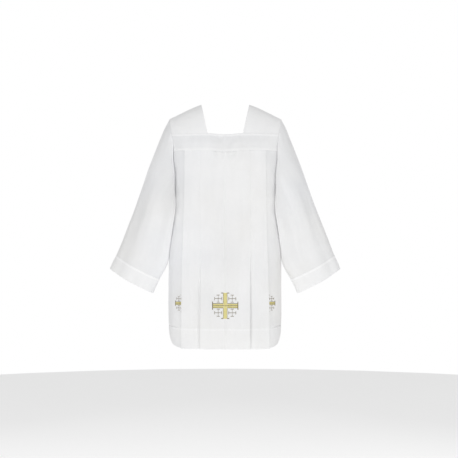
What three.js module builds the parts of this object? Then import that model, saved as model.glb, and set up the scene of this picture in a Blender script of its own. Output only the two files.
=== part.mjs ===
// A white square-necked surplice: a loose vestment worn over a cassock. It is kept here as it hangs
// on the shoulders with nobody in it, hollow and open at the neck, hem, armholes and cuffs.
// Millimetres. +Z is up, the front looks towards -Y, and the wearer's left arm is on +X.
// The origin is midway between the two shoulders, where they carry the garment.
import * as THREE from "three";

// ---------- driving dimensions ----------
const SINGLE = 1.1; // wall of one layer of cloth
const DOUBLE = 2.0; // wall where the cloth is doubled: hem, cuffs and yoke bands
const SEAM = 0.3; // gap between two pieces that are sewn together

const HEM_Z = -979.5; // lowest edge of the skirt
const HEM_SEAM_Z = -898; // top of the turned-up hem
const HEM_SIDE_RISE = 8; // how much the hem lifts at the side seams
const UNDERARM_Z = -349;
const BAND_BOTTOM_Z = -184; // lower edge of the yoke bands
const BAND_TOP_Z = -116; // upper edge of the yoke bands, and the square neckline
const SHOULDER_POINT = { x: 229, z: -48 };
const NECK = { halfWidth: 71, ridgeHalfWidth: 98.5, ridgeZ: 9.5, dip: 5 };

// The hollow body, by height. Each section is a squared oval: its half width, its depth before and
// behind the side seams, and how square its corners are (2 is an ellipse).
const BODY = [
  { z: -980, halfWidth: 221.5, front: 122, back: 118, square: 4.0 },
  { z: -944, halfWidth: 226, front: 122, back: 118, square: 4.0 },
  { z: -895, halfWidth: 229, front: 121.5, back: 118, square: 4.0 },
  { z: -760, halfWidth: 229.5, front: 121, back: 118, square: 4.2 },
  { z: -620, halfWidth: 229, front: 120, back: 117.5, square: 4.6 },
  { z: -565, halfWidth: 225.5, front: 119.5, back: 117, square: 5.2 },
  { z: -463, halfWidth: 213, front: 118, back: 116, square: 5.8 },
  { z: -382, halfWidth: 205, front: 116.5, back: 115, square: 6.2 },
  { z: -349, halfWidth: 202, front: 116, back: 115, square: 6.0 },
  { z: -270, halfWidth: 208, front: 115, back: 114, square: 4.8 },
  { z: -184, halfWidth: 232, front: 112, back: 112, square: 3.2 },
  { z: -116, halfWidth: 242.5, front: 104, back: 104, square: 2.9 },
];

// Four knife pleats on the front and four on the back, folded outwards and pressed. An edge's place
// is its distance from the middle, at the yoke and at the hem; under is the depth folded beneath
// it; swing is how far the hang of the cloth carries it towards the wearer's left at the hem.
const PLEATS = [
  { edgeAtYoke: 100, edgeAtHem: 100, under: 30, swing: 0 },
  { edgeAtYoke: 163, edgeAtHem: 176, under: 42, swing: -1 },
];
const LAYER_STEP = { atYoke: 1.8, atHem: 3.0 }; // from one folded layer of cloth to the next
const TUCK = 8; // how far the skirt's top edge reaches up behind the yoke band

// Soft lengthwise folds of the skirt, by their place at the yoke and at the hem.
const SKIRT_FOLDS = [
  { atYoke: -1, atHem: -2, width: 7, depth: -1.0 },
  { atYoke: 46, atHem: 52, width: 26, depth: 1.6 },
  { atYoke: -44, atHem: -55, width: 28, depth: 1.6 },
  { atYoke: 132, atHem: 140, width: 22, depth: 1.4 },
  { atYoke: -130, atHem: -141, width: 24, depth: 1.4 },
];

// Rings of the sleeve from the armhole to the cuff seam: where its outer and inner folds lie, seen
// from the front, its half depth from front to back, how far the arm carries it forwards, how much
// further forwards its inner fold leans, over the corner of the skirt, and how strongly its front
// is drawn in towards the body.
const SLEEVE = [
  { outerX: 229, outerZ: -48, innerX: 202, innerZ: -349, halfDepth: 77, forward: 0, lean: 0 },
  { outerX: 248, outerZ: -85, innerX: 204, innerZ: -359, halfDepth: 76.5, forward: 0, lean: 90, pull: 0.3 },
  { outerX: 263, outerZ: -122, innerX: 201.5, innerZ: -374, halfDepth: 75, forward: 1, lean: 106, pull: 0.9 },
  { outerX: 284, outerZ: -175, innerX: 199, innerZ: -398, halfDepth: 73, forward: 2, lean: 110, pull: 0.9 },
  { outerX: 309, outerZ: -240, innerX: 201.5, innerZ: -431, halfDepth: 71, forward: 3, lean: 108, pull: 0.3 },
  { outerX: 334.5, outerZ: -309, innerX: 208, innerZ: -471, halfDepth: 68, forward: 5, lean: 98 },
  { outerX: 363, outerZ: -384, innerX: 216, innerZ: -517, halfDepth: 65, forward: 7, lean: 86 },
  { outerX: 392, outerZ: -460, innerX: 224, innerZ: -571, halfDepth: 62, forward: 9, lean: 70 },
  { outerX: 421, outerZ: -536, innerX: 233, innerZ: -641, halfDepth: 58, forward: 11, lean: 50 },
  { outerX: 450.5, outerZ: -612, innerX: 271, innerZ: -709, halfDepth: 55, forward: 12, lean: 26 },
];
const CUFF = [
  { outerX: 450.7, outerZ: -612.4, innerX: 271.2, innerZ: -709.4, halfDepth: 55.1, forward: 12, lean: 26 },
  { outerX: 462, outerZ: -637, innerX: 283, innerZ: -735, halfDepth: 55.5, forward: 12.5, lean: 24 },
  { outerX: 472.5, outerZ: -663, innerX: 295, innerZ: -762, halfDepth: 54.5, forward: 13, lean: 22 },
];
const SLEEVE_EGG = 0.16; // how much deeper the sleeve is along the arm than along its inner fold
const SLEEVE_PULL = 0.6; // what a full pull adds to the power that shapes the ring's front
const SLEEVE_PINCH = 0.0055; // how much flatter it is for each millimetre that it leans forwards
const CUFF_DROOP = 5; // the cuff's front and back hang this much below its two folds
const CUFF_LIFT = 0.7; // the cuff stands proud of the sleeve

// Soft folds of the sleeve: where they run round it, as an angle from the outer fold (90 is the
// front), from which share of its length down, how wide in degrees and how deep.
const SLEEVE_FOLDS = [
  { angle: 52, from: 0.42, width: 15, depth: -3.6 },
  { angle: 84, from: 0.2, width: 17, depth: 3.0 },
  { angle: 116, from: 0.34, width: 14, depth: -3.8 },
  { angle: 232, from: 0.25, width: 18, depth: -3.6 },
  { angle: 276, from: 0.35, width: 20, depth: 3.0 },
  { angle: 312, from: 0.45, width: 15, depth: -3.4 },
];

// The embroidered cross: half its size, the width of its two bars, and its end bars.
const CROSS = { half: 52, upright: 16, bar: 19, tick: 3.5, tickHalf: 16 };
const CROSSLET = { half: 15, upright: 3, bar: 3, tick: 3, tickHalf: 6.5 };
const CROSSLET_AT = 28; // from the middle of the cross, both ways
const THREAD = 0.8; // how thick the embroidery lies
const EMBLEMS = [
  { name: "front", x: 0, z: -806, size: 1, panel: 2 },
  { name: "side_left", x: 167.8, z: -798, size: 0.64, panel: 0 },
  { name: "side_right", x: -167.8, z: -798, size: 0.64, panel: 0 },
];

// ---------- small tools ----------
const mix = (a, b, share) => a + (b - a) * share;
const clamp01 = (v) => Math.min(1, Math.max(0, v));
const smooth = (v) => clamp01(v) ** 2 * (3 - 2 * clamp01(v));
const bump = (distance, width) => Math.exp(-((distance / width) ** 2));
const span = (from, to, steps) =>
  Array.from({ length: steps + 1 }, (_, i) => mix(from, to, i / steps));

// A column of a table at height z, on a smooth curve through its rows.
function column(table, key, z) {
  let i = 0;
  while (i < table.length - 2 && z > table[i + 1].z) i++;
  const slope = (k) => {
    const low = table[Math.max(0, k - 1)];
    const high = table[Math.min(table.length - 1, k + 1)];
    return (high[key] - low[key]) / (high.z - low.z);
  };
  const [p, q] = [table[i], table[i + 1]];
  const h = q.z - p.z;
  const s = clamp01((z - p.z) / h);
  return (
    (2 * s ** 3 - 3 * s ** 2 + 1) * p[key] +
    (s ** 3 - 2 * s ** 2 + s) * h * slope(i) +
    (-2 * s ** 3 + 3 * s ** 2) * q[key] +
    (s ** 3 - s ** 2) * h * slope(i + 1)
  );
}

// A closed wall between an outer and an inner sheet of points. round says that the rows are rings.
function wall(outer, inner, round = false) {
  const rows = outer.length;
  const cols = outer[0].length;
  const points = [...outer.flat(), ...inner.flat()];
  const at = (side, r, c) => side * rows * cols + r * cols + (c % cols);
  const faces = [];
  const quad = (a, b, c, d) => faces.push(a, b, c, a, c, d);
  const across = round ? cols : cols - 1;
  for (let r = 0; r < rows - 1; r++)
    for (let c = 0; c < across; c++) {
      quad(at(0, r, c), at(0, r, c + 1), at(0, r + 1, c + 1), at(0, r + 1, c));
      quad(at(1, r, c), at(1, r + 1, c), at(1, r + 1, c + 1), at(1, r, c + 1));
    }
  for (let c = 0; c < across; c++) {
    quad(at(0, 0, c), at(1, 0, c), at(1, 0, c + 1), at(0, 0, c + 1));
    const last = rows - 1;
    quad(at(0, last, c), at(0, last, c + 1), at(1, last, c + 1), at(1, last, c));
  }
  if (!round)
    for (let r = 0; r < rows - 1; r++) {
      quad(at(0, r, 0), at(0, r + 1, 0), at(1, r + 1, 0), at(1, r, 0));
      const end = cols - 1;
      quad(at(0, r, end), at(1, r, end), at(1, r + 1, end), at(0, r + 1, end));
    }
  return solid(points, faces);
}

// The geometry of a closed set of faces, turned to face outwards.
function solid(points, faces) {
  let volume = 0;
  for (let i = 0; i < faces.length; i += 3) {
    const [a, b, c] = [points[faces[i]], points[faces[i + 1]], points[faces[i + 2]]];
    volume += a.dot(b.clone().cross(c));
  }
  const index = volume < 0 ? faces.toReversed() : faces;
  const geometry = new THREE.BufferGeometry().setFromPoints(points);
  geometry.setIndex(index);
  geometry.computeVertexNormals();
  return geometry;
}

// Moves a sheet of points along its own normals, by half a wall each way. lift moves both.
function thicken(sheet, thickness, round, lift = 0) {
  const rows = sheet.length;
  const cols = sheet[0].length;
  const normal = (r, c) => {
    const up = sheet[Math.max(0, r - 1)][c];
    const down = sheet[Math.min(rows - 1, r + 1)][c];
    const before = round ? sheet[r][(c + cols - 1) % cols] : sheet[r][Math.max(0, c - 1)];
    const after = round ? sheet[r][(c + 1) % cols] : sheet[r][Math.min(cols - 1, c + 1)];
    return after.clone().sub(before).cross(up.clone().sub(down)).normalize();
  };
  const moved = (side) =>
    sheet.map((row, r) => {
      const by = (Array.isArray(thickness) ? thickness[r] : thickness) / 2;
      return row.map((p, c) => p.clone().addScaledVector(normal(r, c), lift + side * by));
    });
  return wall(moved(1), moved(-1), round);
}

// ---------- the body's surface ----------
// side is -1 for the front and 1 for the back.
function section(side, z) {
  return {
    a: column(BODY, "halfWidth", z),
    b: column(BODY, side < 0 ? "front" : "back", z),
    n: column(BODY, "square", z),
  };
}

// The point at the turn t of a section, from the middle (0) to the side seam (a quarter turn),
// moved out by off. mirror is -1 on the wearer's right.
function onSection(side, { a, b, n }, t, off, mirror, z) {
  const s = Math.sin(t);
  const c = Math.max(0, Math.cos(t));
  const away = new THREE.Vector2(s ** (2 - 2 / n) / a, c ** (2 - 2 / n) / b).normalize();
  const x = a * s ** (2 / n) + away.x * off;
  const y = b * c ** (2 / n) + away.y * off + SEAM / 2;
  return new THREE.Vector3(mirror * x, side * y, z);
}

const turnAtX = ({ a, n }, x) => Math.asin(clamp01(x / a) ** (n / 2));
const turnAtDepth = ({ b, n }, depth) => Math.acos(clamp01(depth / b) ** (n / 2));

// Half the depth of the armhole at a height: an egg, widest where the yoke meets the skirt, and
// squarer below that (2 is an ellipse).
const ARMHOLE_SQUARE = 3.4;

function armholeDepth(z) {
  const above = z > BAND_BOTTOM_Z;
  const height = above ? SHOULDER_POINT.z - BAND_BOTTOM_Z : BAND_BOTTOM_Z - UNDERARM_Z;
  const r = clamp01(Math.abs(z - BAND_BOTTOM_Z) / height);
  const n = above ? 2 : ARMHOLE_SQUARE;
  return SLEEVE[0].halfDepth * (1 - r ** n) ** (1 / n);
}

// ---------- shoulders ----------
// Each runs from the front band over the shoulder to the back band. Across it goes from the neck
// edge (0) to the armhole (1); along it turns from 30 degrees through 90 at the ridge to 150.
const RISE_FROM = Math.PI / 6;
const SHOULDER_GAP = 1.5 * SEAM; // between its ends and the bands' top edges
const SHOULDER_WALL = 1.4;
const RIDGE_SAG = 1.15; // above 1, the ridge falls faster towards the armhole

function bandTopZ(x) {
  return BAND_TOP_Z - NECK.dip * (1 - smooth(Math.abs(x) / NECK.halfWidth));
}

function armholeTopX() {
  const cut = section(-1, BAND_TOP_Z);
  return onSection(-1, cut, turnAtDepth(cut, armholeDepth(BAND_TOP_Z)), 0, 1, 0).x;
}

function shoulderPoint(across, turn) {
  const share = 2 * Math.sin(turn) - 1; // 0 at the bands and 1 on the ridge
  const seamX = mix(NECK.halfWidth, armholeTopX(), across);
  const ridgeX = mix(NECK.ridgeHalfWidth, SHOULDER_POINT.x, across);
  const ridgeZ = mix(NECK.ridgeZ, SHOULDER_POINT.z, across ** RIDGE_SAG);
  const cut = section(-1, BAND_TOP_Z);
  const depth = cut.b * Math.cos(turnAtX(cut, seamX)) ** (2 / cut.n);
  const flat = Math.cos(turn) / Math.cos(RISE_FROM);
  return new THREE.Vector3(
    mix(seamX, ridgeX, share),
    -depth * flat,
    mix(BAND_TOP_Z + SHOULDER_GAP, ridgeZ, share),
  );
}

function shoulder(mirror) {
  const turns = span(RISE_FROM, Math.PI - RISE_FROM, 14);
  const across = span(0, 1, 6);
  const sheet = turns.map((turn) =>
    across.map((share) => {
      const p = shoulderPoint(share, turn);
      p.x *= mirror;
      return p;
    }),
  );
  return thicken(mirror > 0 ? sheet : sheet.map((r) => r.toReversed()), SHOULDER_WALL, false);
}

// ---------- yoke bands ----------
// Straight doubled bands across the chest and the back. Their turned-in edges are sewn flat and
// stand up a little. They bow out over the pleats at the bottom.
const BAND_EDGE = 8.5;
const BAND_RAISE = 0.5;
const BAND_CLEAR = SINGLE / 2 + SEAM + DOUBLE / 2;
const BAND_DIP = { depth: 6, halfWidth: 55 };
const BAND_REACH = 4; // how far the band's bow goes on past a pleat's edge
const BAND_FALL = 55; // over how much width the bow dies out beside the outer pleats
const BAND_BOWED = 0.6; // the share of the height over which the band bows out
const BAND_END_X = 210; // about where the bands end

function bandLift(x, share) {
  const step = LAYER_STEP.atYoke;
  const [inner, outer] = PLEATS.map((p) => p.edgeAtYoke + BAND_REACH);
  const overPleats =
    mix(4 * step, 2 * step, smooth((Math.abs(x) - inner) / (outer - inner))) *
    (1 - smooth((Math.abs(x) - outer) / BAND_FALL));
  return mix(SHOULDER_WALL / 2, overPleats + BAND_CLEAR, smooth(share / BAND_BOWED));
}

function yokeBand(side) {
  const edges = [
    { share: 0, raise: 1 },
    { share: 1, raise: 1 },
    { share: 1.06, raise: 0 },
  ];
  const height = BAND_TOP_Z - BAND_BOTTOM_Z;
  const rows = [
    ...edges.map((e) => ({ share: (e.share * BAND_EDGE) / height, raise: e.raise })),
    ...[0.4, 0.62].map((share) => ({ share, raise: 0 })),
    ...edges.toReversed().map((e) => ({ share: 1 - (e.share * BAND_EDGE) / height, raise: e.raise })),
  ];
  const point = (row, share, grow) => {
    const x = share * BAND_END_X;
    const dip = BAND_DIP.depth * bump(x, BAND_DIP.halfWidth);
    const z = mix(bandTopZ(x), BAND_BOTTOM_Z - dip, row.share);
    const level = mix(BAND_TOP_Z, BAND_BOTTOM_Z, row.share);
    const endCut = section(side, level);
    const endX = onSection(side, endCut, turnAtDepth(endCut, armholeDepth(level)), 0, 1, 0).x;
    const cut = section(side, z);
    const turn = turnAtX(cut, Math.abs(share) * endX);
    return onSection(side, cut, turn, bandLift(x, row.share) + grow, Math.sign(share) || 1, z);
  };
  const shares = span(-1, 1, 30);
  const sheet = (grow) => rows.map((row) => shares.map((s) => point(row, s, grow(row))));
  const outer = sheet((row) => DOUBLE / 2 + row.raise * BAND_RAISE);
  return wall(outer, sheet(() => -DOUBLE / 2));
}

// ---------- skirt ----------
// Half the path of the cloth at one height, from the middle to the side seam, pleats and all. A
// point has its place x, or its share along the side panel, its layer's distance out from the
// side panel, and the cloth's own outward direction there.
const SIDE_COLUMNS = 9;

function pleatedPath(z, mirror) {
  const down = smooth((BAND_BOTTOM_Z - z) / (BAND_BOTTOM_Z - HEM_Z));
  const step = mix(LAYER_STEP.atYoke, LAYER_STEP.atHem, down);
  const path = [];
  const turnRound = (edge, from, way) => {
    for (const angle of span(0, Math.PI, 2)) {
      const away = [Math.sin(angle), way * Math.cos(angle)];
      const x = edge - (way * step * (1 - away[0])) / 2;
      const off = from - (step * (1 - Math.cos(angle))) / 2;
      path.push({ x, off, away });
    }
  };
  const flat = (begin, end, steps, off, out) => {
    for (const x of span(begin, end, steps).slice(1, -1)) path.push({ x, off, away: [0, out] });
  };
  let from = 0;
  let layer = 2 * PLEATS.length;
  for (const pleat of PLEATS) {
    const edge = mix(pleat.edgeAtYoke, pleat.edgeAtHem + mirror * pleat.swing, down);
    if (!from) path.push({ x: 0, off: layer * step, away: [0, 1] });
    flat(from, edge, 5, layer * step, 1);
    turnRound(edge, layer * step, 1);
    flat(edge, edge - pleat.under, 2, (layer - 1) * step, -1);
    turnRound(edge - pleat.under, (layer - 1) * step, -1);
    from = edge - pleat.under + step / 2;
    layer -= 2;
  }
  for (const share of span(0, 1, SIDE_COLUMNS).slice(1)) {
    path.push({ share, fromX: from, off: 0, away: [0, 1] });
  }
  return path;
}

// How far soft folds move the cloth out at a place.
function drape(x, z) {
  const down = clamp01((BAND_BOTTOM_Z - z) / (BAND_BOTTOM_Z - HEM_Z));
  return SKIRT_FOLDS.reduce(
    (sum, fold) =>
      sum + fold.depth * smooth(3 * down) * bump(x - mix(fold.atYoke, fold.atHem, down), fold.width),
    0,
  );
}

// The point of the skirt for a step of the path. move is how far from the middle of the cloth.
function skirtPoint(side, z, step, mirror, move) {
  const cut = section(side, z);
  const end = z > UNDERARM_Z ? turnAtDepth(cut, armholeDepth(z)) : Math.PI / 2;
  const onSide = step.share !== undefined;
  const turn = onSide
    ? mix(turnAtX(cut, step.fromX), end, step.share)
    : turnAtX(cut, step.x + step.away[0] * move);
  const x = cut.a * Math.sin(turn) ** (2 / cut.n);
  const off = step.off + step.away[1] * move + drape(mirror * x, z);
  const hem = clamp01((HEM_SEAM_Z - z) / (HEM_SEAM_Z - HEM_Z));
  const lift = onSide ? HEM_SIDE_RISE * smooth(step.share) * hem : 0;
  return onSection(side, cut, turn, off, mirror, z + lift);
}

// The heights of its rows: close together round the armhole, and at the step down to the hem.
const ARMHOLE_ROWS = [-216, -255, -292, -320, -339, UNDERARM_Z];
const LOWER_ROWS = [-410, -500, -610, -740, HEM_SEAM_Z + 1];
const HEM_ROWS = [HEM_SEAM_Z, -938, HEM_Z];

function skirt(side) {
  const single = [BAND_BOTTOM_Z + TUCK, ...ARMHOLE_ROWS, ...LOWER_ROWS];
  const rows = [
    ...single.map((z) => ({ z, thickness: SINGLE })),
    ...HEM_ROWS.map((z) => ({ z, thickness: DOUBLE })),
  ];
  const sheet = (way) =>
    rows.map(({ z, thickness }) => {
      const line = (mirror) =>
        pleatedPath(z, mirror).map((p) => skirtPoint(side, z, p, mirror, (way * thickness) / 2));
      return [...line(-1).toReversed(), ...line(1).slice(1)];
    });
  return wall(sheet(1), sheet(-1));
}

// ---------- sleeves and cuffs ----------
const RING = span(0, 360, 32).slice(0, -1);
const toTurn = (degrees) => (degrees * Math.PI) / 180;

// A ring between the outer fold and the inner fold, as an egg.
function ringPoint(ring, degrees) {
  const t = toTurn(degrees);
  const share = (1 + Math.cos(t)) / 2; // 0 at the inner fold and 1 at the outer one
  const leaning = ring.lean * (1 - share) ** 2;
  const egg = (1 + SLEEVE_EGG * Math.cos(t)) * (1 - SLEEVE_PINCH * leaning);
  const drawnIn = 1 + SLEEVE_PULL * (ring.pull ?? 0) * Math.max(0, Math.sin(t));
  return new THREE.Vector3(
    mix(ring.innerX, ring.outerX, share ** drawnIn),
    -ring.halfDepth * Math.sin(t) * egg - ring.forward - leaning,
    mix(ring.innerZ, ring.outerZ, share),
  );
}

// Which way a point of a ring lies from the ring's middle.
function ringOutward(ring, degrees) {
  const middle = ringPoint({ ...ring, halfDepth: 0, lean: 0 }, 90);
  return ringPoint({ ...ring, lean: 0 }, degrees).sub(middle).normalize();
}

// The sleeve's own edge at the armhole, just outside the edges of the body's pieces. Where the
// body's wall lies at a slant to it, over the skirt and most of all at the underarm, it stands
// further off so that the gap between the two stays one SEAM wide.
const CLEAR_OF_BODY = { least: 0.95, overSkirt: 0.6, reach: 60, atUnderarm: 0.5, underarm: 30 };

function armholePoint(degrees) {
  const t = toTurn(degrees);
  const z = mix(UNDERARM_Z, SHOULDER_POINT.z, (1 + Math.cos(t)) / 2);
  const y = -Math.sign(Math.sin(t)) * armholeDepth(z);
  const level = Math.min(z, BAND_TOP_Z);
  const cut = section(-1, level);
  const bodyX = onSection(-1, cut, turnAtDepth(cut, armholeDepth(level)), 0, 1, 0).x;
  const share = clamp01((z - BAND_TOP_Z) / (SHOULDER_POINT.z - BAND_TOP_Z));
  const { least, overSkirt, reach, atUnderarm, underarm } = CLEAR_OF_BODY;
  const clear =
    least +
    overSkirt * smooth((BAND_TOP_Z - z) / reach) +
    atUnderarm * bump(z - UNDERARM_Z, underarm);
  return new THREE.Vector3(mix(bodyX, SHOULDER_POINT.x, share) + clear, y, z);
}

// How far soft folds move the sleeve, at a share of its length.
const FOLD_GROWS = 0.25; // the share of its length over which a fold deepens

function sleeveFold(degrees, share) {
  return SLEEVE_FOLDS.reduce((sum, fold) => {
    const turned = ((degrees - fold.angle + 540) % 360) - 180;
    return sum + fold.depth * smooth((share - fold.from) / FOLD_GROWS) * bump(turned, fold.width);
  }, 0);
}

const HOLD_TO_ARMHOLE = [1, 0.72, 0.5, 0.3, 0.14, 0.05]; // how closely each ring keeps its shape

function sleeve(mirror) {
  const first = RING.map((d) => armholePoint(d));
  const sheet = SLEEVE.map((ring, k) =>
    RING.map((degrees, i) => {
      const share = k / (SLEEVE.length - 1);
      const p = ringPoint(ring, degrees);
      const own = ringPoint(SLEEVE[0], degrees);
      p.addScaledVector(first[i].clone().sub(own), HOLD_TO_ARMHOLE[k] ?? 0);
      p.addScaledVector(ringOutward(ring, degrees), sleeveFold(degrees, share));
      p.z -= CUFF_DROOP * Math.sin(toTurn(degrees)) ** 2 * share ** 3;
      p.x *= mirror;
      return p;
    }),
  );
  return thicken(mirror > 0 ? sheet : sheet.map((r) => r.toReversed()), SINGLE, true);
}

function cuff(mirror) {
  const sheet = CUFF.map((ring) =>
    RING.map((degrees) => {
      const p = ringPoint(ring, degrees);
      p.addScaledVector(ringOutward(ring, degrees), sleeveFold(degrees, 1));
      p.z -= CUFF_DROOP * Math.sin(toTurn(degrees)) ** 2;
      p.x *= mirror;
      return p;
    }),
  );
  return thicken(mirror > 0 ? sheet : sheet.map((r) => r.toReversed()), DOUBLE, true, CUFF_LIFT);
}

// ---------- embroidery ----------
// A cross with a bar across the end of each arm, as a chart of cells.
const POTENT = ["..###..", "...#...", "#..#..#", "#######", "#..#..#", "...#...", "..###.."];
const LONGEST_CELL = 14;
const WALK_STEPS = 16; // how finely a distance is measured out over the curved cloth
const ROUNDING = 1e-6;
const SIDE_EMBLEM = { gap: 0.15, thread: 0.7 }; // it lies flatter where a pleat covers half of it

function chartEdges(cross, bar) {
  const right = [bar / 2, cross.tickHalf, cross.half - cross.tick, cross.half];
  return [...right.map((v) => -v).toReversed(), ...right];
}

// The front's cloth at a distance along from a place x at the height z, on one of its panels: 0 is
// the side panel and 2 the middle one. A negative x lies on the wearer's right.
function frontCloth(x, along, z, panel, out) {
  const cut = section(-1, z);
  const down = smooth((BAND_BOTTOM_Z - z) / (BAND_BOTTOM_Z - HEM_Z));
  const off = 2 * panel * mix(LAYER_STEP.atYoke, LAYER_STEP.atHem, down);
  let place = x;
  for (let i = 0; i < WALK_STEPS; i++) {
    const [p, q] = [-0.5, 0.5].map((v) =>
      onSection(-1, cut, turnAtX(cut, Math.abs(place) + v), off, 1, 0),
    );
    place += ((along / WALK_STEPS) * (q.x - p.x)) / p.distanceTo(q);
  }
  const turn = turnAtX(cut, Math.abs(place));
  return onSection(-1, cut, turn, off + drape(place, z) + out, Math.sign(place) || 1, z);
}

function embroidered(emblem, cross, right, up) {
  const { size } = emblem;
  const split = (edges) =>
    edges.flatMap((e, i) => {
      const next = edges[i + 1];
      if (next === undefined) return [e];
      return span(e, next, Math.ceil(((next - e) * size) / LONGEST_CELL)).slice(0, -1);
    });
  const columns = chartEdges(cross, cross.upright);
  const lines = chartEdges(cross, cross.bar);
  const [xs, zs] = [split(columns), split(lines)];
  const cellOf = (edges, low, high) =>
    edges.findIndex((e, i) => low >= e - ROUNDING && high <= edges[i + 1] + ROUNDING);
  const filled = (i, k) => {
    if (i < 0 || k < 0 || i >= xs.length - 1 || k >= zs.length - 1) return false;
    return POTENT[cellOf(lines, zs[k], zs[k + 1])][cellOf(columns, xs[i], xs[i + 1])] === "#";
  };
  const flatter = emblem.panel === 0;
  const seat = SINGLE / 2 + SEAM + (flatter ? SIDE_EMBLEM.gap : 0);
  const thread = THREAD * (flatter ? SIDE_EMBLEM.thread : 1);
  const points = [];
  const known = new Map();
  const at = (i, k, top) => {
    const key = `${i},${k},${top}`;
    if (!known.has(key)) {
      known.set(key, points.length);
      const along = (xs[i] + right) * size;
      const z = emblem.z + (zs[k] + up) * size;
      points.push(frontCloth(emblem.x, along, z, emblem.panel, seat + (top ? thread : 0)));
    }
    return known.get(key);
  };
  const faces = [];
  const quad = (...corners) => {
    const [a, b, c, d] = corners.map((corner) => at(...corner));
    faces.push(a, b, c, a, c, d);
  };
  for (let i = 0; i < xs.length - 1; i++) {
    for (let k = 0; k < zs.length - 1; k++) {
      if (!filled(i, k)) continue;
      const [j, l] = [i + 1, k + 1];
      quad([i, k, 1], [j, k, 1], [j, l, 1], [i, l, 1]);
      quad([i, k, 0], [i, l, 0], [j, l, 0], [j, k, 0]);
      if (!filled(i, k - 1)) quad([i, k, 0], [j, k, 0], [j, k, 1], [i, k, 1]);
      if (!filled(i, k + 1)) quad([i, l, 0], [i, l, 1], [j, l, 1], [j, l, 0]);
      if (!filled(i - 1, k)) quad([i, k, 0], [i, k, 1], [i, l, 1], [i, l, 0]);
      if (!filled(i + 1, k)) quad([j, k, 0], [j, l, 0], [j, l, 1], [j, k, 1]);
    }
  }
  return solid(points, faces);
}

// ---------- the garment ----------
const cloth = new THREE.MeshStandardMaterial({ color: 0xeff0f3, roughness: 0.85, metalness: 0 });
const doubled = new THREE.MeshStandardMaterial({ color: 0xf4f5f7, roughness: 0.85, metalness: 0 });
const gold = new THREE.MeshStandardMaterial({ color: 0xcdb45c, roughness: 0.45, metalness: 0.15 });
const outline = new THREE.MeshStandardMaterial({ color: 0x8d8159, roughness: 0.5, metalness: 0.1 });

const garment = new THREE.Group();
const add = (name, geometry, material) => {
  const mesh = new THREE.Mesh(geometry, material);
  mesh.name = name;
  garment.add(mesh);
};

add("skirt_front", skirt(-1), cloth);
add("skirt_back", skirt(1), cloth);
add("yoke_front", yokeBand(-1), doubled);
add("yoke_back", yokeBand(1), doubled);
for (const [side, mirror] of [["left", 1], ["right", -1]]) {
  add(`shoulder_${side}`, shoulder(mirror), doubled);
  add(`sleeve_${side}`, sleeve(mirror), cloth);
  add(`cuff_${side}`, cuff(mirror), doubled);
}
for (const emblem of EMBLEMS) {
  add(`cross_${emblem.name}`, embroidered(emblem, CROSS, 0, 0), gold);
  let number = 1;
  for (const up of [CROSSLET_AT, -CROSSLET_AT])
    for (const right of [-CROSSLET_AT, CROSSLET_AT])
      add(`crosslet_${emblem.name}_${number++}`, embroidered(emblem, CROSSLET, right, up), outline);
}

export default garment;
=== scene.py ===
"""A white square-necked surplice as it hangs on the shoulders with nobody in it, hollow and open at
the neck, the hem and the cuffs. Sizes are in millimetres, and the meshes are made in metres. The
front looks towards -Y, +Z is up, and the wearer's left arm is on +X.
"""

import math

import bpy
import numpy as np
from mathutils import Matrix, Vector


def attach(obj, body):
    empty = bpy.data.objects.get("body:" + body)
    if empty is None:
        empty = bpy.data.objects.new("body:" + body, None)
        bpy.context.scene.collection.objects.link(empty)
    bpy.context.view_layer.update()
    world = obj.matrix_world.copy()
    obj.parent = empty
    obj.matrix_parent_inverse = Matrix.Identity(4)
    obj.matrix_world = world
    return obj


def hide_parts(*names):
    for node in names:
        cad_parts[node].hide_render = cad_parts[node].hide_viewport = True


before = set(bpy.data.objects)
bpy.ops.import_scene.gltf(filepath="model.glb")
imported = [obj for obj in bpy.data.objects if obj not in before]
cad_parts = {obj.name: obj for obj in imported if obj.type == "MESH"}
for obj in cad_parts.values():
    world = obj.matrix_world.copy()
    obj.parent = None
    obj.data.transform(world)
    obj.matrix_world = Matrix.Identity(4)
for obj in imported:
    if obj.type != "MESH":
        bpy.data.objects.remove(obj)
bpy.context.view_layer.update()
MM = 0.001

# ---------- camera ----------
# A long lens, level with the middle of the garment and square to its front, 15 mm to the wearer's
# left of its middle.
CAMERA_AT = (15, -3920, -500)
VIEW_WIDTH = 1832  # how wide a stretch it sees at the front of the skirt
VIEW_DISTANCE = 3800

camera_data = bpy.data.cameras.new("camera")
camera_data.lens = camera_data.sensor_width * VIEW_DISTANCE / VIEW_WIDTH
camera = bpy.data.objects.new("camera", camera_data)
camera.location = [v * MM for v in CAMERA_AT]
camera.rotation_euler = (math.pi / 2, 0, 0)
bpy.context.scene.collection.objects.link(camera)
bpy.context.scene.camera = camera

# ---------- skirt ----------
# A front and a back of white poly-cotton in a fine plain weave, each pressed into four knife pleats
# that face outwards. They are sewn together down the sides, and the bottom of both is turned up
# 80 mm and stitched down. Above the hem it is one layer of cloth.
HEM_Z = -979.5
HEM_SEAM_Z = -898
HEM_SIDE_RISE = 8  # how much the hem and its seam lift at the side seams
HEM_RISE_ABOVE = 60  # how far above its seam the lift begins
HEM_CORNER_RISE = 15  # how much more its fold lifts there, which rounds the corners
UNDERARM_Z = -349
BAND_BOTTOM_Z = -184
TUCK = 8  # how far the top edge reaches up behind the band
SHOULDER_POINT = (229, -48)  # the x and z of the top of the armhole
ARMHOLE_DEPTH = 77  # half of it, where it is widest
ARMHOLE_SQUARE = 3.4  # how square it is under the band (2 is an ellipse)
CLOTH = 0.4
HEM_RAISE = 0.35  # the turned-up hem lifts the cloth in front of it
HEM_LAYERS = 0.9  # from the middle of the outer layer to the middle of the inner one
HEM_STITCHES = 2.6  # below the top of the hem
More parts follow.
